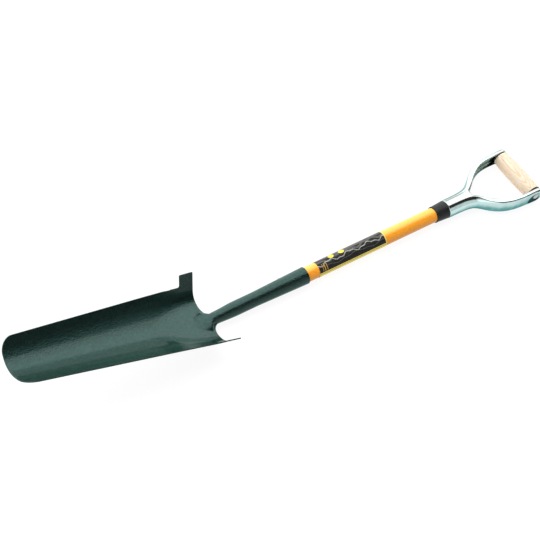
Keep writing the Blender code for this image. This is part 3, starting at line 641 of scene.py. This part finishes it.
# Columns: angles over the neck in the middle, then out along the nose's crown and round its corner, whose
# centre is found step by step, as it has to touch both the crown and the side
def bladeColumns():
    form, step = bladeForm, 0.002
    middleU = form["crownRadius"] - form["length"]
    crown, corner = form["crownRadius"] - edgeRound, form["cornerRadius"] - edgeRound
    reach = crown - corner
    cornerU = -0.395  # a first guess
    for _ in range(6):
        slope = (edgeLine(np.array(cornerU + step)) - edgeLine(np.array(cornerU - step))) / (2 * step)
        lean = math.atan(slope)
        endU = cornerU - corner * math.sin(lean)
        cornerV = float(edgeLine(np.array(endU))) - corner * math.cos(lean)
        cornerU = middleU - math.sqrt(reach**2 - cornerV**2)
    first = math.asin(cornerV / reach)
    root = float(neckRadius(rearJoin / math.cos(lift)))
    spread = np.linspace(0.0, 1.0, 21)[1:] ** form["columnsPower"]
    crownAcross = root + (crown * math.sin(first) - root) * spread
    crownU = middleU - np.sqrt(crown**2 - crownAcross**2)
    angle = np.linspace(first, math.pi / 2 - lean, 30)[1:]
    noseU = joined(crownU, cornerU - corner * np.cos(angle))
    noseAcross = joined(crownAcross, cornerV + corner * np.sin(angle))
    share = (noseAcross - root) / (edgeLine(noseU) - root)
    share[-1] = 1.0
    theta = np.linspace(0.0, math.pi / 2, 25)
    middle = root * np.sin(theta)
    return root, theta, middle, middleU - np.sqrt(crown**2 - middle**2), share, noseU


# Treads as (u, across): the wall carried on past the edge, with a round root and round corners
def treadPlaces(rows):
    form = bladeForm
    rise = form["treadRise"] + form["waist"]
    root, bend = form["treadRoot"] + edgeRound, form["treadCorner"] - edgeRound
    rootSteps = root * (1.0 - np.cos(np.linspace(0.0, math.pi / 2, 8)))
    cornerSteps = rise - bend + bend * np.sin(np.linspace(0.0, math.pi / 2, 6))
    y = joined(rootSteps, np.linspace(root, rise - bend, 14)[1:-1], cornerSteps)
    hollow = root - np.sqrt(np.maximum(root**2 - np.maximum(root - y, 0.0) ** 2, 0.0))
    corner = bend - np.sqrt(np.maximum(bend**2 - np.maximum(y - (rise - bend), 0.0) ** 2, 0.0))
    front = -form["treadLength"] + edgeRound - np.where(y < root, hollow, 0.0)
    u = mix(front + corner, -edgeRound - corner, rows)
    return u, edgeLine(u) + y


# The plate's rim: quarter circles from the top line and from the back line out to the middle between them
def plateRim(topLine, backLine):
    thick = topLine - backLine
    height = np.linalg.norm(thick, axis=1, keepdims=True)
    upright = np.where(height > 1e-5, thick / np.maximum(height, 1e-9), np.array([0.0, 0.0, 1.0]))
    outward = np.cross(np.gradient((topLine + backLine) / 2, axis=0), upright)
    outward /= np.maximum(np.linalg.norm(outward, axis=1, keepdims=True), 1e-12)
    if outward[len(outward) // 2, 0] > 0:
        outward = -outward
    bend = np.minimum(edgeRound, height / 2)
    turn = np.radians([90.0, 60.0, 30.0, 0.0])
    halves = ((topLine, -upright, turn), (backLine, upright, turn[::-1]))
    return np.stack([line + outward * bend * math.cos(a) + inward * bend * (1.0 - math.sin(a))
                     for line, inward, angles in halves for a in angles])


# Neck and socket: rings whose planes turn from upright on the plate to square across the axis, then the mouth
def neckGrids(theta):
    form = neckForm
    start, upright, chamfer = rearJoin / math.cos(lift), form["uprightBy"], form["chamfer"]
    lip = form["mouth"] - chamfer
    place = joined(np.linspace(start, upright, 22), np.linspace(upright, lip, 40)[1:])
    tilt = joined(lift * (1.0 - ease((place - start) / (upright - start))), np.zeros(6))
    bevel = np.radians([30.0, 60.0, 90.0])
    lipRadius = float(neckRadius(np.array(lip))) - chamfer * (1.0 - np.cos(bevel))
    radius = joined(neckRadius(place), lipRadius, [form["bore"], form["boreEndRadius"], 0.0])
    inside = [form["mouth"], form["boreEnd"], form["boreEnd"]]
    place = joined(place, lip + chamfer * np.sin(bevel), inside)
    angle = joined(-theta[:0:-1], theta)
    across, up = radius[:, None] * np.sin(angle), radius[:, None] * np.cos(angle)
    lean = up * np.tan(tilt)[:, None]
    return [np.stack([place[:, None] + side * lean, across, side * up], axis=-1) for side in (1.0, -1.0)]


def makeBlade():
    form = bladeForm
    root, theta, middle, middleNose, share, noseU = bladeColumns()
    start = -form["treadLength"] - form["treadRoot"]
    inMiddle = len(middle)

    # Distance across for each column at its own u
    def acrossAt(u):
        outer = mix(root, edgeLine(u[:, inMiddle:]), share)
        return np.concatenate([np.broadcast_to(middle, (len(u), inMiddle)), outer], axis=1)

    nose = joined(middleNose, noseU)
    rows = np.linspace(0.0, 1.0, 64)[:, None]
    uFront = mix(nose, form["rowsTurn"], rows ** form["rowsPower"])
    uFront = joined(uFront, np.linspace(form["rowsTurn"], start, 12)[1:-1, None] + 0 * nose)

    # Rear edge: straight at the shoulder, and an elliptical fillet up to the neck's side
    rear = np.zeros((1, len(nose)))
    for _ in range(5):
        inward = (root + form["filletAcross"] - acrossAt(rear)) / form["filletAcross"]
        rear = form["filletAlong"] * (1.0 - np.sqrt(1.0 - np.clip(inward, 0.0, 1.0) ** 2)) - edgeRound
    rows = np.linspace(0.0, 1.0, 27)[:, None]
    u = joined(uFront, mix(start, rear, rows))
    faces, treads = bladeFaces(u, acrossAt(u)), bladeFaces(*treadPlaces(rows))

    # The plate's outline, from the neck's far side round the nose to its near side
    def outline(sheet, tread):
        half = joined(
            sheet[0, :], sheet[1:len(uFront), -1], tread[0, :], tread[1:, -1], tread[-1, -2::-1],
            sheet[-1, -2:inMiddle - 2:-1],
        )
        return joined(half[::-1] * mirror, half[1:])

    rim = plateRim(outline(faces[0], treads[0]), outline(faces[1], treads[1]))
    grids = [grid * side for grid in (*faces, *treads) for side in (1.0, mirror)]
    grids += [rim, *neckGrids(theta)]
    makePiece("blade.shell", grids, paint, "blade", crease=45.0)


makeBlade()

# Shaft, label and collar: outlines turned about the shaft's axis

shaftForm = {
    "start": 0.1122, "radius": 0.0150, "bore": 0.0100, "end": 0.581, "mouth": 0.216, "seat": 0.0122,
    "seatGap": 0.0005, "seatStep": 0.00002, "round": 0.0004,
}


def makeShaft():
    form = shaftForm
    start, end, radius, bore = form["start"], form["end"], form["radius"], form["bore"]
    outer = [(start, bore), (start, form["seat"])]
    outer += [(form["mouth"] - form["seatGap"], radius - form["seatStep"])]
    outer += [(x, radius) for x in np.linspace(form["mouth"], end - form["round"], 40)]
    outer += [(end, radius - form["round"]), (end, bore), (start, bore)]
    makePiece("shaft.tube", [turnedGrid(outer)], fibre, "shaft_tube")


labelForm = {"start": 0.2410, "end": 0.3980, "radius": 0.0153, "thickness": 0.00025, "halfAngle": 150.0}


# A sheet wrapped from the top round to the underside: (x, r sin a, r cos a), with its own flat map of (along,
# around), where around is the angle's share of a half turn from the top, below nought on the camera's side
def makeLabel():
    form = labelForm
    along = np.linspace(0.0, 1.0, 90)[:, None]
    around = np.linspace(-1.0, 1.0, 97)[None, :] * form["halfAngle"] / 180.0
    angle = math.pi * around
    x = mix(form["start"], form["end"], along)

    def sheet(radius):
        return np.stack(np.broadcast_arrays(x, radius * np.sin(angle), radius * np.cos(angle)), axis=-1)

    lay = np.stack(np.broadcast_arrays(along, around), axis=-1)
    outer, inner = sheet(form["radius"] + form["thickness"]), sheet(form["radius"])
    grids, lays = [outer, inner], [lay, lay]
    for edge in (np.s_[0, :], np.s_[-1, :], np.s_[:, 0], np.s_[:, -1]):
        grids.append(np.stack([outer[edge], inner[edge]]))
        lays.append(np.stack([lay[edge], lay[edge]]))
    makePiece("shaft.label", grids, labelPrint, "shaft_label", uvGrids=lays)


collarForm = {
    "start": 0.5220, "seat": 0.5517, "bore": 0.0153, "thin": 0.0166, "thick": 0.0184, "bead": 0.0004,
    "beadLength": 0.0030, "sleeve": 0.0170, "sleeveEnd": 0.580, "round": 0.0004,
}


# A bead, a cone up to the handle's neck and the sleeve inside the neck
def makeCollar():
    form = collarForm
    start, seat, bore, thin = form["start"], form["seat"], form["bore"], form["thin"]
    long, sleeve, end = form["beadLength"], form["sleeve"], form["sleeveEnd"]
    outer = [(start, bore), (start, thin - form["round"])]
    outer += [(start + long * (1 - math.cos(a)) / 2, thin + form["bead"] * math.sin(a))
              for a in np.linspace(0.0, math.pi, 9)]
    outer += [(x, mix(thin, form["thick"], (x - start - long) / (seat - start - long)))
              for x in np.linspace(start + long, seat - form["round"], 12)[1:]]
    outer += [(seat, form["thick"] - form["round"]), (seat, sleeve)]
    outer += [(end, sleeve), (end, bore), (start, bore)]
    makePiece("handle.collar", [turnedGrid(outer)], plastic, "handle_collar")


makeShaft()
makeLabel()
makeCollar()

# Yoke: a quarter of it as two grids, mirrored up and down and left and right

yokeForm = {
    "start": 0.5520, "wall": 0.0018, "neck": 0.0187, "bore": 0.0173, "boreEnd": 0.583, "flatStart": 0.611,
    "flatEnd": 0.640, "crotch": 0.6135, "crotchRadius": 0.0035, "depth": 0.0150, "corner": 0.0050,
    "outerBend": 0.6403, "outerEase": 0.0292, "outerLean": 0.205, "innerStart": 0.6018, "innerReach": 0.0644,
    "innerRise": 1.97, "innerFullness": 0.73, "earOuter": 0.0644, "earInner": 0.0550, "earRadius": 0.0163,
    "gripPlace": 0.7375, "crotchEdge": 0.0052, "armEdge": 0.0018, "edgeStart": 0.012, "edgeFall": 0.045,
    "channelStart": 0.650, "channelFull": 0.663, "channelPast": 0.0127, "channelShut": 0.0015,
    "dishRadius": 0.0105, "dishInside": 0.0026, "dishFall": 0.0030, "dishDepth": 0.0024, "lip": 0.0005,
}


# Outer side of the arms: half the neck's width plus an S curve in tanh(t / (1 + lean tanh t))
def armOuter(x):
    form = yokeForm
    turn = (x - form["outerBend"]) / form["outerEase"]
    turn = turn / (1.0 + form["outerLean"] * np.tanh(turn))
    return mix(form["neck"], form["earOuter"], (1.0 + np.tanh(turn)) / 2)


# Inner side: tanh(t^rise)^fullness, nothing ahead of its start
def armInner(x):
    form = yokeForm
    reach = np.maximum(x - form["innerStart"], 0.0) / form["innerReach"]
    return form["earInner"] * np.tanh(reach ** form["innerRise"]) ** form["innerFullness"]


def yokeFlatness(x):
    return ease((x - yokeForm["flatStart"]) / (yokeForm["flatEnd"] - yokeForm["flatStart"]))


def yokeDepth(x):
    form = yokeForm
    ear = ease((x - form["gripPlace"]) / (2 * form["earRadius"]) + 1.0)
    return mix(form["neck"], form["depth"], yokeFlatness(x)) + (form["earRadius"] - form["depth"]) * ear


# Upper half of a section, from its inner edge out to the middle of its outer side: a flat, a round corner and
# half of the web, with its points spread evenly along that path. Where the inner edge lies within the corner
# the path starts on the corner, at the angle whose sine is (inner - outer + corner) / corner
def yokeSection(inner, outer, depth, corner, columns):
    corner = np.maximum(corner, 1e-9)
    flat = np.maximum(outer - corner - inner, 0.0)
    first = np.arcsin(np.clip((inner - outer + corner) / corner, 0.0, 1.0))
    bend, web = corner * (math.pi / 2 - first), depth - corner
    along = np.linspace(0.0, 1.0, columns) * (flat + bend + web)
    angle = np.clip(first + (along - flat) / corner, first, math.pi / 2)
    y = inner + np.minimum(along, flat) + corner * (np.sin(angle) - np.sin(first))
    z = depth - corner * (1.0 - np.cos(angle)) - np.maximum(along - flat - bend, 0.0)
    return y, z


# The opening's outline (x, y) from the crotch's middle out along the arm's inner side, its normal, and the
# size of the round edge along it
def yokeOpening():
    form = yokeForm
    turn = np.linspace(0.0, math.pi / 2, 14)[:-1]
    start = form["crotch"] + form["crotchRadius"]
    sideX = np.linspace(start, form["gripPlace"], 68)
    x = joined(start - form["crotchRadius"] * np.cos(turn), sideX)
    y = joined(float(armInner(start)) * np.sin(turn), armInner(sideX))
    tangent = np.stack([np.gradient(x), np.gradient(y)], axis=-1)
    tangent[0] = (0.0, 1.0)
    tangent /= np.linalg.norm(tangent, axis=1, keepdims=True)
    fall = ease((x - form["crotch"] - form["edgeStart"]) / form["edgeFall"])
    normal = np.stack([-tangent[:, 1], tangent[:, 0]], axis=-1)
    return x, y, normal, mix(form["crotchEdge"], form["armEdge"], fall)


def makeYoke():
    form = yokeForm
    columns, gripPlace, earRadius, wall = 44, form["gripPlace"], form["earRadius"], form["wall"]
    openX, openY, normal, edge = yokeOpening()
    topX, topY = openX + normal[:, 0] * edge, openY + normal[:, 1] * edge

    # Ear's round end: x = place + R sin a, depth = R cos a
    turn = np.radians(np.linspace(0.0, 90.0, 19))[1:]
    earX, earDepth = gripPlace + earRadius * np.sin(turn), earRadius * np.cos(turn)
    neckX = np.linspace(form["start"] + form["lip"], topX[0], 36)[:-1]
    x = joined(neckX, topX, earX)
    earTop = armInner(earX) + np.minimum(edge[-1], earDepth)
    inner = joined(0.0 * neckX, np.maximum(topY, 0.0), earTop)
    depth = joined(yokeDepth(neckX), yokeDepth(topX), earDepth)
    outer = armOuter(x)
    corner = mix(form["neck"], form["corner"], yokeFlatness(x))
    corner = np.minimum(corner, np.minimum(depth, outer))

    # Rim and bore ahead of the neck: quarter circles with the same columns
    boreX = np.array([form["boreEnd"], form["boreEnd"], form["start"], form["start"]])
    boreRadius = np.array([1e-7, form["bore"], form["bore"], form["neck"] - form["lip"]])
    x, inner = joined(boreX, x)[:, None], joined(0.0 * boreX, inner)[:, None]
    outer, depth, corner = (joined(boreRadius, part)[:, None] for part in (outer, depth, corner))
    y, z = yokeSection(inner, outer, depth, corner, columns)

    # Dish in the ear's outer side round the rod's head
    far = np.hypot(x - gripPlace, z)
    dish = 1.0 - ease((far - form["dishRadius"] + form["dishInside"]) / form["dishFall"])
    y = y - np.where(y > (inner + outer) / 2, form["dishDepth"] * dish, 0.0)
    sheet = np.stack(np.broadcast_arrays(x, y, z), axis=-1)

    # Inner side: a round edge, then the wall, which sinks into a channel along the arm
    stripX, stripY = joined(openX, earX)[:, None], joined(openY, armInner(earX))[:, None]
    normal = joined(normal, np.broadcast_to([0.0, 1.0], (len(earX), 2)))
    edge = joined(edge, np.full(len(earX), edge[-1]))[:, None]
    stripDepth = z[-len(stripX):, :1]
    edge = np.minimum(edge, stripDepth)
    bevel = np.radians(np.linspace(90.0, 0.0, 7))
    opened = ease((stripX - form["channelStart"]) / (form["channelFull"] - form["channelStart"]))
    opened = opened * (1.0 - ease((stripX - gripPlace - form["channelPast"]) / form["channelShut"]))
    span = (armOuter(stripX) - stripY - wall) * opened
    lipUp = np.minimum(np.maximum(stripDepth - wall, 0.0), stripDepth - edge)
    # The channel keeps the wall's thickness round the ear's end
    past = np.maximum(stripX - gripPlace, 0.0)
    reach = np.sqrt(np.maximum((earRadius - wall) ** 2 - past**2, 0.0))
    lipUp = np.where(past > 0.0, np.minimum(lipUp, reach), lipUp)
    shares = np.array([1.0, 1.0, 0.985, 0.93, 0.84, 0.72, 0.48, 0.24, 0.0])
    sinks = np.array([0.0, 0.06, 0.6, 0.88, 0.975, 1.0, 1.0, 1.0, 1.0])
    off = np.concatenate([edge * (1.0 - np.cos(bevel)), span * sinks], axis=1)
    up = np.concatenate([stripDepth - edge * (1.0 - np.sin(bevel)), lipUp * shares], axis=1)
    # Sunk points go straight across, the round edge's along the outline's normal
    straight = joined(np.zeros(len(bevel)), np.ones(len(shares)))
    strip = np.stack([
        stripX + off * normal[:, :1] * (1.0 - straight),
        stripY + off * np.where(straight > 0.5, 1.0, normal[:, 1:]),
        up,
    ], axis=-1)
    grids, lays = [], []
    for side in (1.0, -1.0):
        for level in (1.0, -1.0):
            grids += [grid * np.array([1.0, side, level]) for grid in (sheet, strip)]
            lays += [np.zeros(sheet.shape[:2] + (2,)), np.ones(strip.shape[:2] + (2,))]
    makePiece("handle.yoke", grids, zinc, "yoke", crease=50.0, uvGrids=lays)


makeYoke()

# Grip: a barrel turned about Y

gripForm = {
    "place": 0.7375, "middle": 0.0178, "end": 0.0160, "half": 0.0540, "round": 0.0014, "tenon": 0.0125,
    "tenonLength": 0.0047, "bore": 0.0033,
}


def makeGrip():
    form = gripForm
    half, tenon = form["half"], form["half"] + form["tenonLength"]
    y = np.linspace(-1.0, 1.0, 41) * (half - form["round"])
    barrel = [(place, mix(form["middle"], form["end"], (place / half) ** 2)) for place in y]
    end = [(half - form["round"] * (1 - math.sin(a)), form["end"] - form["round"] * (1 - math.cos(a)))
           for a in np.radians([30.0, 60.0, 90.0])]
    end += [(half, form["tenon"]), (tenon, form["tenon"]), (tenon, form["bore"])]
    start = [(-place, radius) for place, radius in reversed(end)]
    grid = turnedGrid(start + barrel + end + [start[0]], axis="Y", at=form["place"])
    makePiece("handle.grip", [grid], ash, "grip")


makeGrip()

plainLooks = {
    "grip_rod": rivetSteel, "socket_rivet": rivetSteel, "yoke_rivet": rivetSteel, "socket_dowel": softwood,
    "handle_dowel": softwood,
}
for node, look in plainLooks.items():
    mesh = cadNodes[node].data
    mesh.materials.clear()
    mesh.materials.append(look)
print("pieces made")

# Studio: a pale floor that glows a little like a light table, so that shadows on it stay weak, under a dark
# room with one broad box of light overhead and behind, and a low white wall on the camera's side. Each aim
# is a direction, and each edge is where a part starts and is full, as a share of a direction along its aim
studio = {
    "floor": 0.10, "floorTint": (0.97, 0.97, 0.965), "floorMm": 400.0, "floorGlow": 0.90,
    "floorReach": 20.0, "room": 0.02, "ceiling": 0.05, "ceilingEdge": (0.45, 0.75), "box": 3.0,
    "boxAim": (0.25, 0.80, 0.545), "boxEdge": (0.40, 0.52),
    # the box is dimmer round one direction, and there is a dark corner low down behind the shovel
    "dimAim": (0.391, 0.467, 0.793), "dimEdge": (0.84, 0.97), "dim": 0.90, "cornerAim": (-0.6, 0.8, 0.0),
    "cornerEdge": (0.01, 0.07), "cornerEnd": (0.34, 0.42), "cornerTop": (0.42, 0.50), "corner": 0.34,
    "wall": 0.85, "wallTop": (0.53, 0.63), "wallNear": (-0.25, 0.0), "wallSide": (0.50, 0.57),
    # a fill panel towards the nose end, which only what faces that way takes light from
    "fillAim": (-0.93, -0.10, 0.35), "fillEdge": (0.35, 0.60), "fill": 0.70, "lens": 100.0,
}


def makeFloor():
    look, tree, shader = shaderTree("paleFloor")
    tone, reach = studio["floor"], studio["floorReach"]
    tinted = [tone * part for part in studio["floorTint"]]
    colour = blend(tree, cloudy(tree, studio["floorMm"]), (tone, tone, tone, 1), (*tinted, 1))
    feed(tree, shader, Base_Color=colour, Emission_Color=(1.0, 1.0, 1.0, 1.0),
         Emission_Strength=studio["floorGlow"], Roughness=0.9)
    x, y = np.meshgrid(np.linspace(-reach, reach, 9), np.linspace(-reach, reach, 9), indexing="ij")
    floor = gridObject("floor", [np.stack([x, y, 0 * x], axis=-1)], look)


# Light from each direction d: the box where d . aim is over its edge, the wall where d is low and on the near
# side, the corner taken off the box and the fill added to it
def makeWorld():
    world = bpy.data.worlds.new("studio")
    bpy.context.scene.world = world
    world.use_nodes = True
    tree = world.node_tree
    where = addNode(tree, "ShaderNodeTexCoord").outputs["Generated"]
    parts = splitPlace(tree, where)

    def both(a, b):
        return times(tree, a, b)

    # From low to high across the named edge, along the aim or along X, Y or Z
    def step(edge, aim, low, high):
        if aim in "XYZ":
            return smooth(tree, parts[aim], *studio[edge], low, high)
        dot = addNode(tree, "ShaderNodeVectorMath", {"operation": "DOT_PRODUCT"}, i0=where, i1=studio[aim])
        return smooth(tree, dot.outputs["Value"], *studio[edge], low, high)

    room = step("ceilingEdge", "Z", studio["room"], studio["ceiling"])
    light = step("boxEdge", "boxAim", room, studio["box"])
    light = both(light, step("dimEdge", "dimAim", 1.0, studio["dim"]))
    corner = both(step("cornerEdge", "cornerAim", 0.0, 1.0), step("cornerEnd", "cornerAim", 1.0, 0.0))
    corner = both(corner, step("cornerTop", "Z", 1.0, 0.0))
    light = both(light, maths(tree, "MULTIPLY_ADD", corner, studio["corner"] - 1.0, 1.0))
    light = maths(tree, "ADD", light, step("fillEdge", "fillAim", 0.0, studio["fill"]))
    wall = both(step("wallTop", "Z", studio["wall"], 0.0), step("wallNear", "Y", 1.0, 0.0))
    light = maths(tree, "ADD", light, both(wall, step("wallSide", "X", 1.0, 0.0)))
    feed(tree, tree.nodes["Background"], Color=light, Strength=1.0)


# The camera's place and turn were fitted to the photograph in the shaft's frame
def makeCamera():
    lens = bpy.data.cameras.new("camera")
    lens.lens = studio["lens"]
    lens.sensor_width = 36.0
    lens.clip_end = 50.0
    camera = bpy.data.objects.new("camera", lens)
    bpy.context.scene.collection.objects.link(camera)
    rows = [
        [0.83443332, 0.38807534, -0.39130367, -0.94964574 + shoulderPlace],
        [-0.54340968, 0.69764556, -0.46690106, -1.28588145],
        [0.09179848, 0.602236, 0.7930226, 2.25761437 + axisHeight],
        [0.0, 0.0, 0.0, 1.0],
    ]
    camera.matrix_world = Matrix(rows)
    bpy.context.scene.camera = camera


makeFloor()
makeWorld()
makeCamera()
bpy.context.scene.view_settings.view_transform = "Standard"

print("scene made")
